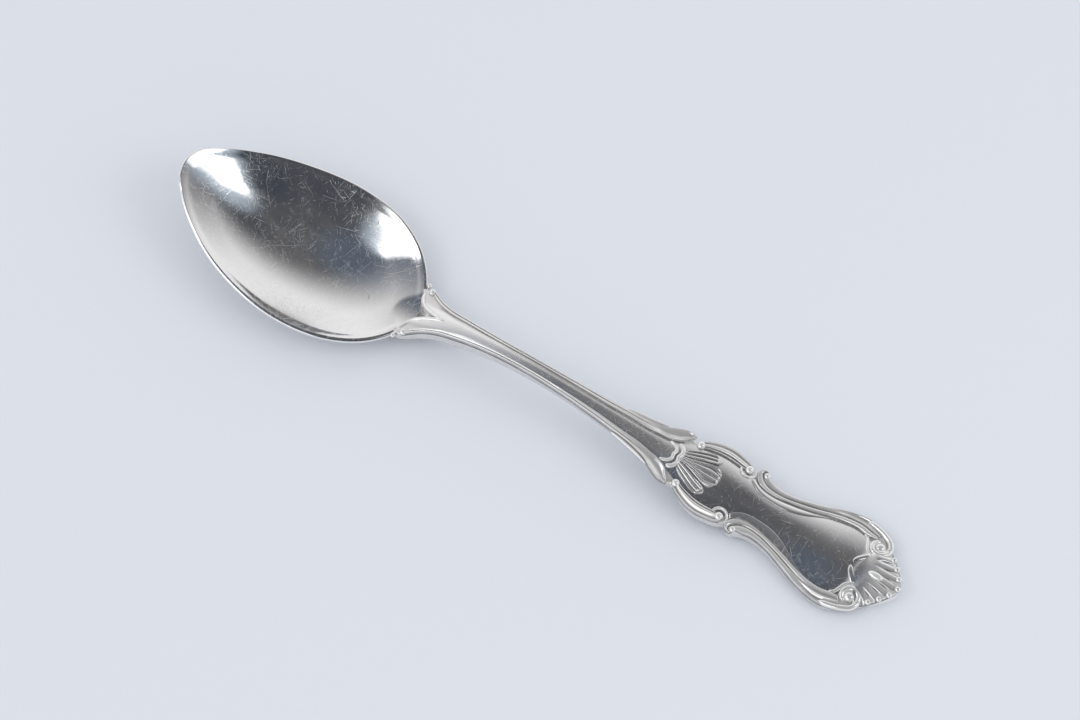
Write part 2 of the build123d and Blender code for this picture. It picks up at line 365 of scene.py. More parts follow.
def bowl_spot(along, turn):
    """Skin of the bowl, from the low point of the hollow over the rim to the low point of the back."""
    reach = bowl_edge(turn)
    ahead = Vector((math.cos(turn * math.tau), math.sin(turn * math.tau)))

    def wall(distance, thick):
        point = Vector((BOWL_MIDDLE, 0.0)) + ahead * distance
        flare = max(distance - reach + FLARE, 0.0) / FLARE
        z = round_height(point.x, point.y, thick) - FLARE_DROP * flare ** 2
        z += RIM_STEP * ease(distance - reach, -RIM_STEP_FROM, -RIM_STEP_TO)
        if thick == 0.0 and point.x > BOWL_MIDDLE:
            z = min(z, heel_bed(point.x, point.y))
        return point.x, point.y, z

    if along < LIP_START:
        return *wall((reach - LIP[0][0]) * along / LIP_START, 0.0), 0.0
    if along > LIP_END:
        return *wall((reach - LIP[-1][0]) * (1 - along) / (1 - LIP_END), BOWL_WALL), 0.0
    step = (along - LIP_START) / (LIP_END - LIP_START) * (len(LIP) - 1)
    i = min(int(step), len(LIP) - 2)
    inset = LIP[i][0] + (LIP[i + 1][0] - LIP[i][0]) * (step - i)
    fall = LIP[i][1] + (LIP[i + 1][1] - LIP[i][1]) * (step - i)
    top = wall(reach - max(inset, LIP[1][0]), 0.0)[2]
    low = wall(reach - LIP[-1][0], BOWL_WALL)[2]
    u, v, z = wall(reach - inset, BOWL_WALL)
    return u, v, top + (low - top) * fall, 0.0


bowl_metal = new_metal()
loft(bowl_metal, rings=150, around=288, spot=bowl_spot)
silver_piece("bowl_shell", bowl_metal, "bowl", satin=0.0)

# Stem
# The arched silver bar between the bowl and the handle, struck in one with them and rounded on its back.
# A pointed hollow leads from the bowl up on to it, and it runs on under the bowl as a drop.

# Heights of the floor between the ornaments and of the back, along the whole handle
FLOOR = [
    (42.0, 2.7), (46.0, 4.26), (50.0, 5.64), (56.0, 7.13), (62.0, 7.95), (68.0, 8.21), (76.0, 7.87),
    (85.0, 6.86), (95.0, 5.41), (105.0, 4.12), (115.0, 2.9), (124.0, 1.81), (132.0, 1.74), (140.0, 1.8),
]
BACK = [
    (36.8, 0.25), (43.0, 1.16), (50.0, 2.58), (56.0, 3.8), (64.0, 5.08), (72.0, 5.65), (80.0, 5.46),
    (90.0, 4.37), (100.0, 2.53), (110.0, 0.65), (115.0, 0.14), (119.3, 0.0), (140.0, 0.0),
]

# Half width of the bare field between the ornaments, and its crown as a share of that
FIELD_HALF = [
    (46.0, 2.5), (52.0, 1.87), (56.6, 1.3), (63.0, 0.9), (71.0, 0.85), (83.0, 1.03), (88.0, 1.3),
    (92.0, 1.45), (95.0, 1.8), (98.0, 3.0), (101.5, 4.2), (105.0, 4.6), (108.0, 4.4), (110.5, 4.0),
    (113.0, 3.2), (117.5, 3.6), (121.0, 4.5), (124.0, 5.4), (128.7, 6.1), (131.5, 5.6), (134.0, 5.0),
    (140.0, 4.0),
]
FIELD_CROWN = [
    (46.0, 0.12), (56.0, 0.3), (86.0, 0.26), (98.0, 0.18), (106.0, 0.22), (128.0, 0.18), (140.0, 0.12),
]
FIELD_LAP = 0.3
# How much the field darkens towards its edges under the ornaments, with a tarnish film and painted shade
FIELD_FILM_AND_SHADE = 0.25

STEM_HALF = [
    (36.8, 0.0), (37.4, 1.2), (39.0, 2.4), (41.5, 3.7), (44.0, 4.75), (46.0, 5.2), (47.5, 4.75),
    (49.0, 3.85), (51.5, 2.84), (56.0, 2.15), (62.0, 1.65), (70.0, 1.5), (76.0, 1.65), (82.0, 2.0),
    (87.0, 2.4), (91.0, 2.9), (93.0, 3.4), (95.0, 4.2), (97.6, 4.7),
]
# The ends close within half a part, if the length has this many parts
STEM_PARTS = 60

# Up to the first place the front may lie low in the wall of the bowl; how far it keeps inside and under it
STEM_OPEN = 47.0
STEM_INSET = 0.5
STEM_BURIED = 0.15

# Powers and reach that round the section: smaller powers make it squarer
STEM_SIDE_POWER = 0.8
STEM_FRONT_REACH = 2.2
STEM_FRONT_POWER = 0.6
STEM_BACK_POWER = 0.75

# The stem is frosted at the bowl and turns bright between these places
STEM_FROST = 0.85
STEM_FROST_LOSS = 0.6
STEM_BRIGHT_FROM = 57.0
STEM_BRIGHT_TO = 76.0

# Middle line of the rib beside the hollow, from the point of the hollow to the shoulder of the bowl
HEEL_RIB = [(52.3, 0.0), (50.4, 0.35), (48.7, 0.85), (47.1, 1.65), (46.1, 2.8), (45.5, 4.2)]
HEEL_RIB_LEAST = 0.05
# Painted shade that darkens the hollow between the heel's ribs
HEEL_HOLLOW_SHADE = 0.6
HEEL_FROST = 0.3

floor_height = smooth(*zip(*FLOOR))
back_height = smooth(*zip(*BACK))
field_half = smooth(*zip(*FIELD_HALF))
field_crown = smooth(*zip(*FIELD_CROWN))
stem_half = smooth(*zip(*STEM_HALF))
rib_half = smooth(*zip(*reversed(HEEL_RIB)))


def front(u, v):
    """Height of the slightly crowned front, which runs a little under the ornaments at its edges."""
    half = field_half(u) + FIELD_LAP
    share = min(abs(v) / half, 1.0)
    return floor_height(u) + field_crown(u) * half * (1 - share ** 2)


def in_bowl(u, v, inset):
    """Whether a plan point lies inside the outline of the bowl by more than an inset."""
    spoke = Vector((u - BOWL_MIDDLE, v))
    return spoke.length < bowl_edge(math.atan2(v, u - BOWL_MIDDLE) / math.tau % 1.0) - inset


def rib_share(u, v):
    """Distance from the middle line as a share of the distance of the heel's rib."""
    return abs(v) / max(rib_half(max(u, HEEL_RIB[-1][0])), HEEL_RIB_LEAST)


def heel_sunk(u, v):
    """How far the front is sunk between the ribs of the heel, from 0 to 1."""
    if u > HEEL_RIB[0][0]:
        return 0.0
    return (1 - ease(rib_share(u, v), 0.6, 1.05)) * ease(HEEL_RIB[0][0] - u, 0.6, 3.2)


def stem_front(u, v):
    """Front of the stem, hollowed between the ribs of the heel and sunk in the wall of the bowl."""
    if in_bowl(u, v, STEM_INSET):
        wall_middle = round_height(u, v, 0.5 * BOWL_WALL) - FLARE_DROP
        return min(wall_middle, heel_bed(u, v) - STEM_BURIED)
    return front(u, v) + min(heel_bed(u, v) - front(u, v), 0.0) * heel_sunk(u, v)


def stem_spot(along, turn):
    """Skin of the stem, nearly flat in front and rounded at the sides and the back."""
    first, last = STEM_HALF[0][0], STEM_HALF[-1][0]
    u = first + (last - first) * along
    half = stem_half(u) * math.sin(math.pi * min(along * STEM_PARTS, (1 - along) * STEM_PARTS, 0.5))
    angle = turn * math.tau
    v = half * math.copysign(abs(math.cos(angle)) ** STEM_SIDE_POWER, math.cos(angle))
    top = stem_front(u, v)
    low = max(back_height(u), 0.0)
    middle = 0.5 * (front(u, v) + low)
    lift = math.sin(angle)
    if lift >= 0:
        if u <= STEM_OPEN:
            middle = min(top, middle)
        z = middle + (top - middle) * min(1.0, STEM_FRONT_REACH * lift) ** STEM_FRONT_POWER
    else:
        z = middle + (low - middle) * abs(lift) ** STEM_BACK_POWER
    # The field darkens towards its edges with a tarnish film and painted shade
    film_and_shade = FIELD_FILM_AND_SHADE * ease(abs(v), 0.75 * field_half(u), field_half(u))
    # The hollow between the heel's ribs is darkened with painted shade
    return u, v, z, max(film_and_shade, HEEL_HOLLOW_SHADE * heel_sunk(u, v))


def stem_frost(u, v):
    """Frosted towards the bowl, and brighter in the hollow between the ribs and near the handle."""
    frost = STEM_FROST - STEM_FROST_LOSS * ease(u, STEM_BRIGHT_FROM, STEM_BRIGHT_TO)
    if u > HEEL_RIB[0][0]:
        return frost
    return max(frost * ease(rib_share(u, v), 0.75, 1.05), HEEL_FROST)


stem_metal = new_metal()
loft(stem_metal, rings=420, around=72, spot=stem_spot)
silver_piece("stem_bar", stem_metal, "stem", satin=stem_frost)

# Scrolls of the heel
# Two raised ribs run down from the point of the hollow and curl out to the shoulders of the bowl.
# They are struck in the silver of the stem, and each ends in two small balls.

# Place along and across, radius and lift of the balls
HEEL_EYE = (46.9, 4.5, 0.62, 0.1)
HEEL_BALL = (45.5, 5.6, 0.45, -0.1)
HEEL_RIB_THICK = 0.36
HEEL_RIB_LIFT = 0.3
RIB_SEAT = 0.1
# Tarnish film and painted shade on the lower flank of a rib
RIB_FILM_AND_SHADE = 0.6
# Tarnish film and painted shade round the foot of a ball
BALL_FILM_AND_SHADE = 0.7
SIDES = (("right", 1), ("left", -1))


def rib(metal, side, points, thick, lift, rings=60, around=16, taper=0.12):
    """Rounded rib along a plan curve, thinned to a point at both ends; thick is half its width."""
    path = way(points)

    def spot(along, turn):
        here = path(along)
        ahead = path(min(along + 0.01, 1.0)) - path(max(along - 0.01, 0.0))
        across = Vector((-ahead.y, ahead.x)).normalized()
        end = min(along / taper, (1 - along) / taper, 1.0)
        swell = math.sqrt(max(1 - (1 - end) ** 2, 0.0))
        angle = turn * math.tau
        here = here + across * (thick * swell * math.cos(angle))
        z = front(here.x, here.y) - RIB_SEAT + (lift + RIB_SEAT) * swell * math.sin(angle)
        # The lower flank is darkened with a tarnish film and painted shade where the rib meets the front
        return here.x, side * here.y, z, RIB_FILM_AND_SHADE * ease(-math.sin(angle), -0.5, 0.1)

    loft(metal, rings, around, spot)


def ball(metal, side, u, v, radius, lift, stretch=1.0):
    """Round or lengthened bead seated in the front, with a tarnish film and painted shade where it meets
    it.
    """
    def spot(along, turn):
        level = math.cos(along * math.pi)
        reach = radius * math.sin(along * math.pi)
        here = Vector((math.cos(turn * math.tau) * reach * stretch, math.sin(turn * math.tau) * reach))
        darkening = BALL_FILM_AND_SHADE * ease(-level, -0.45, 0.0)
        return u + here.x, side * (v + here.y), front(u, v) + lift + level * radius, darkening

    loft(metal, rings=24, around=32, spot=spot)


for hand, side in SIDES:
    scroll = new_metal()
    rib(scroll, side, HEEL_RIB, HEEL_RIB_THICK, HEEL_RIB_LIFT, taper=0.2)
    ball(scroll, side, *HEEL_EYE)
    ball(scroll, side, *HEEL_BALL)
    silver_piece("heel_curl_" + hand, scroll, "heel_scroll_" + hand)

# Reeds of the stem
# A thin and a broad reed follow each edge of the stem and open at the shoulder into a hollow pointed leaf.
# They are struck in relief on the stem, with a thin leaflet outside each leaf.
REED_OUTER = [
    (46.9, 5.1), (48.2, 4.3), (49.4, 3.6), (51.5, 2.84), (56.0, 2.15), (62.0, 1.65), (70.0, 1.5),
    (76.0, 1.65), (82.0, 2.0), (87.0, 2.4), (91.0, 2.9), (93.4, 3.5), (95.2, 4.4), (96.9, 5.1),
    (98.6, 5.1),
]
REED_INNER = [
    (47.6, 3.7), (48.9, 3.0), (50.0, 2.5), (52.0, 1.87), (56.6, 1.3), (63.0, 0.9), (71.0, 0.85),
    (77.0, 0.92), (83.0, 1.03), (88.0, 1.3), (92.0, 1.45), (93.6, 1.7), (95.4, 1.95), (97.0, 2.6),
    (98.6, 4.6),
]
REED_SPLIT = 0.4
REED_BASE = 0.3
REED_LIFT = 0.35
REED_POWER = 0.6
REED_FROST = 0.85
REED_LEAF_START = 89.5
REED_LEAF_END = 94.5
REED_LEAF_HOLLOW = 0.5
# Tarnish film and painted shade in the hollow of the leaf
REED_LEAF_FILM_AND_SHADE = 0.3
LEAFLET = [(86.5, 2.5), (90.0, 3.0), (92.4, 3.45), (94.3, 3.95)]
LEAFLET_THICK = 0.3
LEAFLET_LIFT = 0.45

# A band is sunk in the floor; shares of its width for the rounded edges, and of its girth for the front
BAND_SINK = 0.4
BAND_EDGE = 0.14
BAND_FRONT = 0.84
# Tarnish film and painted shade on the walls of a band
BAND_FILM_AND_SHADE = 0.8


def band(metal, side, outer, inner, height, rings, around, blunt=0.015):
    """Raised strip between two plan curves that run the same way; height gives its lift and its tarnish
    film with painted shade.
    """
    def spot(along, turn):
        on_front = turn < BAND_FRONT
        across = turn / BAND_FRONT if on_front else (1 - turn) / (1 - BAND_FRONT)
        edge = outer(along)
        here = edge + (inner(along) - edge) * across
        base = front(here.x, here.y) - BAND_SINK
        if not on_front:
            # The back is fully darkened with the tarnish film and painted shade
            return here.x, side * here.y, base, 1.0
        wall = 1 - min(across, 1 - across, BAND_EDGE) / BAND_EDGE
        end = 1 - min(along, 1 - along, blunt) / blunt
        shape = math.sqrt(max(1 - wall * wall, 0.0) * max(1 - end * end, 0.0))
        lift, darkening = height(along, across)
        # The walls are darkened with a tarnish film and painted shade
        return here.x, side * here.y, base + (lift + BAND_SINK) * shape, max(darkening, BAND_FILM_AND_SHADE * wall)

    loft(metal, rings, around, spot)


def reed_share(across, split):
    """Place across one of two reeds that lie side by side, from 0 to 1."""
    return across / split if across < split else (across - split) / (1 - split)


def reed_height(along, across):
    """A thin outer and a broad inner reed that open into a hollow leaf."""
    leaf = ease(reed_outer(along).x, REED_LEAF_START, REED_LEAF_END)
    hollow = leaf * math.sin(math.pi * across) ** 1.6
    crown = math.sin(math.pi * reed_share(across, REED_SPLIT)) ** REED_POWER
    lift = REED_BASE + REED_LIFT * (crown * (1 - leaf) + leaf) - REED_LEAF_HOLLOW * hollow
    # Grooves between the reeds and the hollow of the leaf are darkened with a tarnish film and painted
    # shade
    return lift, max(REED_LEAF_FILM_AND_SHADE * hollow, (1 - leaf) * (1 - crown) ** 1.2)


def reed_frost(u, v):
    """Frosted, and a little brighter on the leaf."""
    return REED_FROST - 0.1 * ease(u, 86.0, 92.0)


reed_outer = way(REED_OUTER)
reed_inner = way(REED_INNER)
for hand, side in SIDES:
    reed = new_metal()
    band(reed, side, reed_outer, reed_inner, reed_height, rings=340, around=44)
    rib(reed, side, LEAFLET, LEAFLET_THICK, LEAFLET_LIFT, taper=0.4)
    silver_piece("reed_leaf_" + hand, reed, "stem_reed_" + hand, satin=reed_frost)

# Brace at the head of the stem
# Two raised lines, each with two lobes, close the field of the stem where the handle widens.
# They are struck in relief in the silver of the handle.
BRACE = [(95.4, 1.9), (96.3, 1.65), (96.95, 1.25), (97.25, 0.75), (97.2, 0.35), (97.1, 0.0)]
BRACE_THICK = 0.3
BRACE_OUTER = [(96.9, 2.35), (97.7, 2.0), (98.2, 1.4), (98.35, 0.8), (98.25, 0.35), (98.15, 0.0)]
BRACE_OUTER_THICK = 0.38
BRACE_LIFT = 0.24
brace = new_metal()
for line, thick in ((BRACE, BRACE_THICK), (BRACE_OUTER, BRACE_OUTER_THICK)):
    rib(brace, 1, over_middle(line), thick, BRACE_LIFT, rings=120, taper=0.08)
silver_piece("brace_line", brace, "stem_brace")

# Handle plate
# The flat end of the handle, of the same silver, cut to a waisted outline round a softly crowned field.
# Its back is plain and lies on the table at the end.
PLATE_HALF = [
    (96.8, 4.3), (98.2, 4.75), (99.2, 4.45), (100.0, 4.75), (101.6, 5.75), (103.2, 6.35), (105.0, 6.6),
    (107.0, 6.35), (108.5, 6.0), (109.3, 5.6), (109.9, 5.3), (110.6, 5.9), (111.4, 6.1), (112.3, 5.6),
    (113.0, 5.25), (114.7, 5.0), (118.0, 5.4), (121.0, 6.4), (124.3, 7.65), (127.5, 8.5), (129.5, 8.7),
    (131.4, 8.35), (132.8, 7.6), (134.0, 6.6), (135.0, 5.7), (136.4, 4.6), (137.7, 3.3), (138.8, 1.9),
    (139.5, 0.8), (139.8, 0.0),
]
# The end at the stem closes within half a part, if the length has this many parts
PLATE_PARTS = 80
PLATE_SIDE_POWER = 0.55
PLATE_FACE_REACH = 1.5
PLATE_FACE_POWER = 0.45
PLATE_FROST_FROM = 131.0
PLATE_FROST_TO = 132.5
plate_half = smooth(*zip(*PLATE_HALF))


def plate_spot(along, turn):
    """Skin of the plate, flat in front and behind with rounded edges."""
    first, last = PLATE_HALF[0][0], PLATE_HALF[-1][0]
    u = first + (last - first) * along
    half = plate_half(u) * math.sin(math.pi * min(along * PLATE_PARTS, 0.5))
    angle = turn * math.tau
    v = half * math.copysign(abs(math.cos(angle)) ** PLATE_SIDE_POWER, math.cos(angle))
    lift = math.sin(angle)
    top = front(u, v)
    middle = 0.5 * (top + max(back_height(u), 0.0))
    rise = min(1.0, PLATE_FACE_REACH * abs(lift)) ** PLATE_FACE_POWER
    z = middle + (top - middle) * math.copysign(rise, lift)
    # The field darkens towards its edges with a tarnish film and painted shade
    return u, v, z, FIELD_FILM_AND_SHADE * ease(abs(v), field_half(u) - 0.5, field_half(u))


def plate_frost(u, v):
    """Frosted outside the field, under the ornaments."""
    beside = ease(v, field_half(u) - 0.1, field_half(u) + 0.3)
    return max(beside, ease(u, PLATE_FROST_FROM, PLATE_FROST_TO))


plate = new_metal()
loft(plate, rings=430, around=112, spot=plate_spot)
silver_piece("plate_field", plate, "handle_plate", satin=plate_frost)

# Palmette of the collar
# Three fluted leaves with thick rims spread from the brace over the head of the field.
# They are struck in relief in the silver of the plate, and a dark tarnish film with painted shade lies in
# their grooves.
PALM_MIDDLE = [
    (98.4, 0.5), (100.4, 1.0), (102.2, 1.65), (103.8, 2.2), (105.0, 1.95), (105.75, 1.0), (105.9, 0.0),
]
PALM_SIDE_OUTER = [(98.7, 2.0), (100.0, 2.9), (101.3, 3.55), (102.4, 4.0), (103.3, 4.15), (104.1, 3.8)]
PALM_SIDE_INNER = [(98.5, 0.5), (100.4, 1.0), (102.2, 1.65), (103.6, 2.1), (104.5, 2.6), (104.7, 3.3)]
PALM_FLUTES_MIDDLE = 4
PALM_FLUTES_SIDE = 3
PALM_BASE = 0.04
PALM_FLUTE_LIFT = 0.24
PALM_RIM_LIFT = 0.2
PALM_BLUNT = 0.05
PALM_FROST = 0.4


def leaf_height(count):
    """Rounded flutes with narrow grooves between them, and a thick raised rim at the end."""
    def height(along, across):
        flute = abs(math.sin(math.pi * count * across)) ** 0.6
        side_rim = ease(abs(across - 0.5), 0.37, 0.42) * ease(along, 0.35, 0.75)
        rim = max(side_rim, ease(along, 0.82, 0.89))
        lift = PALM_BASE + PALM_FLUTE_LIFT * max(flute, rim) + PALM_RIM_LIFT * rim
        # The grooves between the flutes are darkened with a tarnish film and painted shade
        return lift, (1 - max(flute, rim)) ** 0.8

    return height


leaf = new_metal()
palm_outer = way(PALM_MIDDLE)
palm_inner = way([(u, -v) for u, v in PALM_MIDDLE])
palm_height = leaf_height(PALM_FLUTES_MIDDLE)
band(leaf, 1, palm_outer, palm_inner, palm_height, rings=90, around=112, blunt=PALM_BLUNT)
silver_piece("palm_leaf_middle", leaf, "collar_leaf_middle", satin=PALM_FROST)
palm_outer = way(PALM_SIDE_OUTER)
palm_inner = way(PALM_SIDE_INNER)
palm_height = leaf_height(PALM_FLUTES_SIDE)
for hand, side in SIDES:
    leaf = new_metal()
    band(leaf, side, palm_outer, palm_inner, palm_height, rings=80, around=96, blunt=PALM_BLUNT)
    silver_piece("palm_leaf_" + hand, leaf, "collar_leaf_" + hand, satin=PALM_FROST)

# Beads of the collar and the waist
# Small balls sit in the notches of the outline, and those at the waist have a ring on the field side.
# They are struck in relief in the silver of the plate.
COLLAR_BEAD = (100.0, 4.05, 0.72, 0.15)
WAIST_BEAD = (108.75, 4.95, 0.75, 0.15)
BEAD_FROST = 0.9
WAIST_RING = 1.35
WAIST_RING_FROM = 170.0
WAIST_RING_SPAN = 200.0
WAIST_RING_STEPS = 8
WAIST_RING_THICK = 0.26
WAIST_RING_LIFT = 0.36
waist_ring = []
for step in range(WAIST_RING_STEPS + 1):
    angle = math.radians(WAIST_RING_FROM + WAIST_RING_SPAN * step / WAIST_RING_STEPS)
    ring_u = WAIST_BEAD[0] + WAIST_RING * math.cos(angle)
    ring_v = WAIST_BEAD[1] + WAIST_RING * math.sin(angle)
    waist_ring.append((ring_u, ring_v))
for hand, side in SIDES:
    bead = new_metal()
    ball(bead, side, *COLLAR_BEAD)
    silver_piece("collar_ball_" + hand, bead, "collar_bead_" + hand, satin=BEAD_FROST)
    bead = new_metal()
    ball(bead, side, *WAIST_BEAD)
    rib(bead, side, waist_ring, WAIST_RING_THICK, WAIST_RING_LIFT)
    silver_piece("waist_ball_" + hand, bead, "waist_bead_" + hand, satin=BEAD_FROST)

# Scrolls of the waist
# A reeded C-scroll runs along each edge from the collar bead to the waist bead.
# It is struck in relief in the silver of the plate, and a dark tarnish film with painted shade lies between
# its reeds.
WAIST_OUTER = [
    (99.9, 4.9), (100.6, 5.4), (101.6, 5.9), (103.2, 6.5), (105.0, 6.75), (107.0, 6.5), (108.3, 6.2),
    (109.3, 5.7),
]
WAIST_INNER = [
    (100.7, 3.7), (101.4, 4.0), (102.2, 4.2), (103.4, 4.45), (105.0, 4.6), (106.5, 4.55), (107.4, 4.5),
    (108.3, 4.6),
]
# Share of the width from the outer edge, with the lift and the tarnish film with painted shade there
WAIST_MOULDING = [
    (0.0, 0.3, 0.3), (0.1, 0.42, 0.0), (0.25, 0.12, 0.6), (0.38, 0.36, 0.2), (0.5, 0.6, 0.0),
    (0.68, 0.56, 0.0), (0.77, 0.3, 1.0), (0.87, 0.46, 0.0), (1.0, 0.34, 0.3),
]
waist_shares, waist_lifts, waist_films_and_shade = zip(*WAIST_MOULDING)
waist_lift = smooth(waist_shares, waist_lifts)
waist_film_and_shade = smooth(waist_shares, waist_films_and_shade)


def waist_height(along, across):
    """Moulding across the scroll, the same all along it."""
    return waist_lift(across), min(max(waist_film_and_shade(across), 0.0), 1.0)


for hand, side in SIDES:
    scroll = new_metal()
    band(scroll, side, way(WAIST_OUTER), way(WAIST_INNER), waist_height, rings=110, around=72, blunt=0.03)
    silver_piece("waist_curl_" + hand, scroll, "waist_scroll_" + hand)

# Border of the field
# Two reeds run along each edge from a small volute at the waist to a rolled scroll beside the shell.
# They are struck in relief in the silver of the plate, with a low bright step on the field side.
BORDER_OUTER = [
    (111.9, 6.0), (111.6, 5.85), (111.5, 5.55), (111.8, 5.3), (112.4, 5.35), (113.0, 5.35), (114.7, 5.1),
    (118.0, 5.5), (121.0, 6.5), (124.3, 7.75), (127.5, 8.6), (129.5, 8.8), (131.4, 8.45), (132.9, 7.65),
]
BORDER_INNER = [
    (111.6, 6.5), (110.6, 6.3), (110.0, 5.6), (110.2, 4.6), (111.1, 3.65), (112.6, 3.15), (114.2, 3.1),
    (117.5, 3.65), (120.6, 4.4), (124.0, 5.5), (126.4, 6.0), (128.7, 6.13), (130.4, 5.85), (132.0, 5.9),
]
BORDER_SPLIT = 0.58
BORDER_BASE = 0.3
BORDER_LIFT = 0.33
BORDER_LEAN = 0.2
BORDER_FROST = 0.7
BORDER_HOLLOW_FROM = 123.0
BORDER_HOLLOW_TO = 129.5
BORDER_HOLLOW = 0.42
BORDER_HOLLOW_EDGE = 0.4
STEP_OUTER = [
    (110.4, 4.4), (111.1, 3.75), (112.6, 3.3), (114.2, 3.25), (117.5, 3.8), (120.6, 4.55), (123.0, 5.3),
    (125.2, 5.9),
]
STEP_INNER = [
    (109.8, 3.6), (110.7, 2.9), (111.8, 2.24), (114.5, 1.84), (118.1, 2.24), (120.4, 3.2), (122.6, 4.5),
    (125.0, 5.6),
]
STEP_BASE = 0.06
STEP_LIFT = 0.2
STEP_FROST = 0.25
VOLUTE_EYE = (111.75, 5.6, 0.55, 0.25)
ROLL = [
    (129.4, 8.35), (131.4, 8.0), (133.2, 7.4), (134.5, 6.6), (135.0, 5.5), (134.7, 4.4), (133.7, 3.8),
    (132.6, 4.0), (132.1, 4.9), (132.4, 5.75), (133.2, 6.05),
]
ROLL_THICK = 0.52
ROLL_LIFT = 0.6
ROLL_EYE = (133.4, 5.05, 1.0, -0.2)
ROLL_LINE = [(130.0, 6.1), (130.9, 5.5), (131.3, 4.7), (131.7, 3.8), (132.5, 3.1), (133.5, 2.8)]
ROLL_LINE_THICK = 0.32
ROLL_LINE_LIFT = 0.3


def border_height(along, across):
    """Two reeds darkened in their grooves with a tarnish film and painted shade; the outer one opens into a
    hollow towards the tip, darkened there with painted shade.
    """
    share = reed_share(across, BORDER_SPLIT)
    wave = math.sin(math.pi * share) ** REED_POWER
    lift = BORDER_BASE + BORDER_LIFT * wave - BORDER_LEAN * (1 - across)
    film_and_shade = (1 - wave) ** 0.85
    if across < BORDER_SPLIT:
        hollow = ease(border_outer(along).x, BORDER_HOLLOW_FROM, BORDER_HOLLOW_TO)
        sag = math.sin(math.pi * min(max((share - 0.12) / 0.7, 0.0), 1.0))
        lift += hollow * (BORDER_HOLLOW_EDGE * (1 - wave) - BORDER_HOLLOW * sag)
        # Painted shade darkens the hollow of the outer reed
        film_and_shade = max(film_and_shade * (1 - 0.6 * hollow), 0.55 * hollow * sag ** 2)
    return lift, film_and_shade


def step_height(along, across):
    """A flat low reed that fades out towards the tip."""
    fade = 1 - ease(along, 0.6, 1.0)
    return STEP_BASE + STEP_LIFT * fade * math.sin(math.pi * (0.15 + 0.7 * across)), 0.0


def border_frost(u, v):
    """Frosted on the reeds and bright on the low step inside them."""
    if u > STEP_OUTER[-1][0]:
        return BORDER_FROST
    return STEP_FROST + (BORDER_FROST - STEP_FROST) * ease(v - step_edge(u), -0.25, 0.05)


border_outer = way(BORDER_OUTER)
border_inner = way(BORDER_INNER)
step_edge = smooth(*zip(*STEP_OUTER))
for hand, side in SIDES:
    border = new_metal()
    band(border, side, border_outer, border_inner, border_height, rings=330, around=72)
    band(border, side, way(STEP_OUTER), way(STEP_INNER), step_height, rings=160, around=28)
    ball(border, side, *VOLUTE_EYE)
    rib(border, side, ROLL, ROLL_THICK, ROLL_LIFT, rings=150, around=20, taper=0.1)
    rib(border, side, ROLL_LINE, ROLL_LINE_THICK, ROLL_LINE_LIFT, rings=90)
    ball(border, side, *ROLL_EYE)
    silver_piece("border_reeds_" + hand, border, "border_scroll_" + hand, satin=border_frost)

# Shell at the tip
# A fluted shell closes the handle, with a small ball at the end of each flute and two folds at its back.
# It is struck in relief in the silver of the plate, frosted on the flutes, with a tarnish film and painted
# shade in the grooves.
SHELL_EDGE = [
    (134.4, 6.1), (135.2, 5.75), (136.5, 4.75), (137.8, 3.4), (138.9, 1.9), (139.6, 0.7), (139.75, 0.0),
]
SHELL_BACK = [(132.6, 2.9), (132.0, 2.2), (131.7, 1.4), (131.5, 0.7), (131.4, 0.0)]
SHELL_FLUTES = 9
SHELL_BASE = 0.16
SHELL_SWELL = 0.42
SHELL_FALL = 0.6
SHELL_GROOVE = 0.5
SHELL_BALL = 0.52
SHELL_BALL_LIFT = 0.1
SHELL_BALL_INSET = 0.3
SHELL_BALL_DRAW = 0.95
SHELL_BRIGHT = 0.2
SHELL_FROST = 0.6
FOLD = [(130.9, 0.3), (131.4, 1.2), (132.1, 2.1), (132.7, 2.9), (132.5, 3.6)]
FOLD_THICK = 0.5
FOLD_LIFT = 0.2
shell_edge = way(over_middle(SHELL_EDGE))
shell_back = way(over_middle(SHELL_BACK))


def shell_height(along, across):
    """Rounded flutes that fade towards the boss, on a swelling that falls to the edge."""
    outward = 1 - across
    wave = abs(math.sin(math.pi * SHELL_FLUTES * along)) ** 0.45
    reach = ease(outward, 0.35, 0.75)
    lift = SHELL_BASE + SHELL_SWELL * ease(outward, 0.1, 0.5) - SHELL_FALL * ease(outward, 0.45, 1.15)
    # The grooves are darkened with a tarnish film and painted shade
    return lift - SHELL_GROOVE * (1 - wave) * reach, (1 - wave) ** 0.8 * reach


def shell_frost(u, v):
    """Bright towards the field and frosted on the flutes."""
    return SHELL_BRIGHT + (SHELL_FROST - SHELL_BRIGHT) * ease(u, 133.0, 136.0)


shell = new_metal()
band(shell, 1, shell_edge, shell_back, shell_height, rings=300, around=72, blunt=0.01)
for flute in range(SHELL_FLUTES):
    end = shell_edge((flute + 0.5) / SHELL_FLUTES)
    ball(shell, 1, end.x - SHELL_BALL_INSET, end.y * SHELL_BALL_DRAW, SHELL_BALL, SHELL_BALL_LIFT)
for side in (1, -1):
    rib(shell, side, FOLD, FOLD_THICK, FOLD_LIFT, rings=70, taper=0.35)
silver_piece("fan_shell", shell, "tip_shell", satin=shell_frost)

# Boss of the shell
# An oval drop of silver stands in the middle of the shell.
# It is struck in relief with the shell.
BOSS = (135.3, 0.0, 0.66, 0.25)
BOSS_STRETCH = 2.1
boss = new_metal()
ball(boss, 1, *BOSS, stretch=BOSS_STRETCH)
silver_piece("shell_drop", boss, "tip_boss")

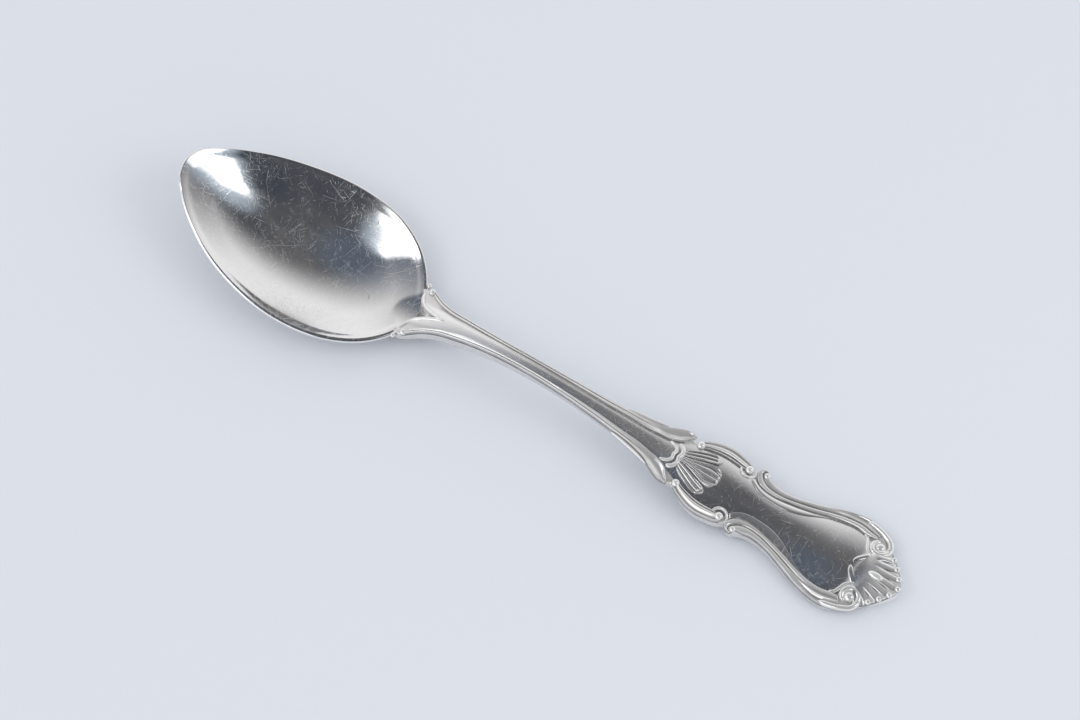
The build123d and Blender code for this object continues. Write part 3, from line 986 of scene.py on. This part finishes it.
# Table
# A plain pale painted top, larger than the picture, on which the spoon lies loose.
# Its colour is also the backdrop that the camera sees.
TABLE = (0.716, 0.745, 0.806, 1.0)
TABLE_SIZE = 6.0
TABLE_ROUGH = 0.75
TABLE_SHINE = 0.25
table_mesh = bpy.data.meshes.new("table")
table_top = bmesh.new()
bmesh.ops.create_grid(table_top, x_segments=2, y_segments=2, size=TABLE_SIZE / 2)
table_top.to_mesh(table_mesh)
table_top.free()
table_paint = bpy.data.materials.new("pale_table")
table_paint.use_nodes = True
paint = table_paint.node_tree.nodes["Principled BSDF"]
paint.inputs["Base Color"].default_value = TABLE
paint.inputs["Roughness"].default_value = TABLE_ROUGH
paint.inputs["Specular IOR Level"].default_value = TABLE_SHINE
table_mesh.materials.append(table_paint)
table = bpy.data.objects.new("table", table_mesh)
bpy.context.scene.collection.objects.link(table)

# Soft boxes
# Two cloth-fronted lamps stand to the right and the left of the table, and light the spoon.
# The silver mirrors them only as the soft glows of the room below.

# Directions are degrees to the right of the way the camera looks, and degrees up from the table
CAMERA_TURN = 32.58
BOX_DISTANCE = 0.9
BOX_STRENGTH = 1.6
RIGHT_BOX_SIZE = (0.55, 0.5)
LEFT_BOX_SIZE = (0.5, 0.3)


def toward(azimuth, elevation):
    """Direction from the spoon that is turned to the right and raised by these degrees."""
    turn = math.radians(azimuth - CAMERA_TURN)
    rise = math.radians(elevation)
    return Vector((math.sin(turn) * math.cos(rise), math.cos(turn) * math.cos(rise), math.sin(rise)))


def soft_box(name, ahead, size):
    """Rectangular lamp that faces the spoon and isn't mirrored in it."""
    lamp = bpy.data.lights.new(name, "AREA")
    lamp.shape = "RECTANGLE"
    width, height = size
    lamp.size = width
    lamp.size_y = height
    lamp.energy = BOX_STRENGTH * math.pi * width * height
    holder = bpy.data.objects.new(name, lamp)
    holder.location = ahead * BOX_DISTANCE
    holder.rotation_euler = ahead.to_track_quat("Z", "Y").to_euler()
    holder.visible_glossy = False
    bpy.context.scene.collection.objects.link(holder)


RIGHT_BOX = toward(110.0, 41.0)
LEFT_BOX = toward(-101.0, 47.0)
soft_box("soft_box_right", RIGHT_BOX, RIGHT_BOX_SIZE)
soft_box("soft_box_left", LEFT_BOX, LEFT_BOX_SIZE)

# Room
# What the silver mirrors: a white wall behind the table, a dark ceiling, two soft boxes and a white card.
# Matt things get an even fill instead, and the camera sees the colour of the table.
FILL_LIGHT = (0.84, 0.845, 0.855, 1.0)
ROOM_DARK = (0.042, 0.05, 0.066, 1.0)
ROOM_DIM = (0.122, 0.121, 0.126, 1.0)
ROOM_PATCHES = 3.2
ROOM_BLUE = (0.088, 0.108, 0.145, 1.0)
ROOM_BLUE_AT = (-60.0, 62.0)
ROOM_BLUE_CORE = 8.0
ROOM_BLUE_EDGE = 34.0

# The wall reaches highest behind the table, a little to the left, and its edge fades over these degrees
WALL_LIGHT = (0.84, 0.84, 0.86, 1.0)
WALL_TURN = 22.0
WALL_RISE = 31.5
WALL_LEAN = 18.0
WALL_FADE_FROM = -31.0
WALL_FADE_TO = 20.0

# Each soft box is a row of glows between two directions, with a wider halo round its middle
BOX_LIGHT = (2.3, 2.35, 2.4, 1.0)
BOX_GLOWS = 5
RIGHT_ROW = ((102.0, 31.0), (117.0, 49.0))
RIGHT_EDGE = 7.5
LEFT_ROW = ((-111.0, 45.0), (-90.0, 49.0))
LEFT_EDGE = 7.0
BOX_HALO = (0.4, 0.47, 0.55, 1.0)
RIGHT_HALO = (6.0, 24.0)
LEFT_HALO = (5.0, 16.0)

# The card stands low on the left, on the camera's side of the table
CARD_LIGHT = (1.9, 1.91, 1.95, 1.0)
CARD_TURNS = (-155.0, -143.0, -131.0, -119.0, -107.0)
CARD_RISE = 24.0
CARD_CORE = 2.0
CARD_EDGE = 15.0

world = bpy.data.worlds.new("studio")
bpy.context.scene.world = world
world.use_nodes = True
tree = world.node_tree
tree.nodes.clear()


def world_feed(socket, value):
    """Links a node's output to a socket, or sets a plain value there."""
    if hasattr(value, "is_output"):
        tree.links.new(value, socket)
    else:
        socket.default_value = value


def world_math(operation, first, second=0.0):
    """Sum, product or other number worked out from one or two."""
    made = tree.nodes.new("ShaderNodeMath")
    made.operation = operation
    world_feed(made.inputs[0], first)
    world_feed(made.inputs[1], second)
    return made.outputs[0]


def world_ramp(value, low, high, start, end):
    """Soft step from start at low to end at high."""
    made = tree.nodes.new("ShaderNodeMapRange")
    made.interpolation_type = "SMOOTHSTEP"
    tree.links.new(value, made.inputs["Value"])
    for name, amount in (("From Min", low), ("From Max", high), ("To Min", start), ("To Max", end)):
        made.inputs[name].default_value = amount
    return made.outputs["Result"]


def world_mix(factor, first, second):
    """Colour between two others."""
    made = tree.nodes.new("ShaderNodeMix")
    made.data_type = "RGBA"
    for name, value in (("Factor", factor), ("A", first), ("B", second)):
        world_feed(made.inputs[name], value)
    return made.outputs["Result"]


def glow(room, ahead, core, edge, colour):
    """Adds a round glow that fades from its core to its edge, both in degrees."""
    angle = tree.nodes.new("ShaderNodeVectorMath")
    angle.operation = "DOT_PRODUCT"
    tree.links.new(way_out, angle.inputs[0])
    angle.inputs[1].default_value = ahead
    span = (math.cos(math.radians(edge)), math.cos(math.radians(core)))
    return world_mix(world_ramp(angle.outputs["Value"], *span, 0.0, 1.0), room, colour)


def along_row(row, share):
    """Direction at a share of the way along a row."""
    (turn, rise), (last_turn, last_rise) = row
    return toward(turn + (last_turn - turn) * share, rise + (last_rise - rise) * share)


way_out = tree.nodes.new("ShaderNodeTexCoord").outputs["Generated"]
to_wall = tree.nodes.new("ShaderNodeVectorRotate")
to_wall.rotation_type = "Z_AXIS"
to_wall.inputs["Angle"].default_value = -math.radians(CAMERA_TURN + WALL_TURN)
tree.links.new(way_out, to_wall.inputs["Vector"])
parts = tree.nodes.new("ShaderNodeSeparateXYZ")
tree.links.new(to_wall.outputs["Vector"], parts.inputs["Vector"])
rise = world_math("ARCSINE", parts.outputs["Z"])
flat = world_math("SQRT", world_math("SUBTRACT", 1.0001, world_math("POWER", parts.outputs["Z"], 2.0)))
facing = world_math("DIVIDE", parts.outputs["Y"], flat)
wall_lean = world_math("MULTIPLY", facing, math.radians(WALL_LEAN))
above = world_math("SUBTRACT", rise, world_math("ADD", wall_lean, math.radians(WALL_RISE)))
over_wall = world_ramp(above, math.radians(WALL_FADE_FROM), math.radians(WALL_FADE_TO), 0.0, 1.0)

uneven = tree.nodes.new("ShaderNodeTexNoise")
tree.links.new(way_out, uneven.inputs["Vector"])
uneven.inputs["Scale"].default_value = ROOM_PATCHES
uneven.inputs["Detail"].default_value = 2.0
near_wall = world_ramp(parts.outputs["Y"], -0.75, 0.45, 0.0, 0.6)
dimness = world_math("ADD", near_wall, world_ramp(uneven.outputs["Fac"], 0.35, 0.65, 0.0, 0.4))

room = world_mix(dimness, ROOM_DARK, ROOM_DIM)
room = glow(room, toward(*ROOM_BLUE_AT), ROOM_BLUE_CORE, ROOM_BLUE_EDGE, ROOM_BLUE)
room = world_mix(over_wall, WALL_LIGHT, room)
room = glow(room, RIGHT_BOX, *RIGHT_HALO, BOX_HALO)
room = glow(room, LEFT_BOX, *LEFT_HALO, BOX_HALO)
for step in range(BOX_GLOWS):
    share = step / (BOX_GLOWS - 1)
    room = glow(room, along_row(RIGHT_ROW, share), 0.0, RIGHT_EDGE, BOX_LIGHT)
    room = glow(room, along_row(LEFT_ROW, share), 0.0, LEFT_EDGE, BOX_LIGHT)
for azimuth in CARD_TURNS:
    room = glow(room, toward(azimuth, CARD_RISE), CARD_CORE, CARD_EDGE, CARD_LIGHT)

rays = tree.nodes.new("ShaderNodeLightPath")
mirrored = world_mix(rays.outputs["Is Glossy Ray"], FILL_LIGHT, room)
seen = world_mix(rays.outputs["Is Camera Ray"], mirrored, TABLE)
backdrop = tree.nodes.new("ShaderNodeBackground")
tree.links.new(seen, backdrop.inputs["Color"])
world_out = tree.nodes.new("ShaderNodeOutputWorld")
tree.links.new(backdrop.outputs["Background"], world_out.inputs["Surface"])

# Camera
# A camera with a long lens looks down on the spoon from the near side and the end of the handle.
# Its place was worked out from the left and right pairs of ornament.
CAMERA_PLACE = (0.1274, -0.1975, 0.4459)
CAMERA_TARGET = Vector((-0.0023, 0.0055, 0.0))
CAMERA_LENS = 100.4
CAMERA_SENSOR = 36.0
CAMERA_NEAREST = 0.01
lens = bpy.data.cameras.new("camera")
lens.sensor_fit = "HORIZONTAL"
lens.sensor_width = CAMERA_SENSOR
lens.lens = CAMERA_LENS
lens.clip_start = CAMERA_NEAREST
camera = bpy.data.objects.new("camera", lens)
camera.location = CAMERA_PLACE
camera.rotation_euler = (CAMERA_TARGET - camera.location).to_track_quat("-Z", "Y").to_euler()
bpy.context.scene.collection.objects.link(camera)
bpy.context.scene.camera = camera
bpy.context.scene.view_settings.view_transform = "Standard"
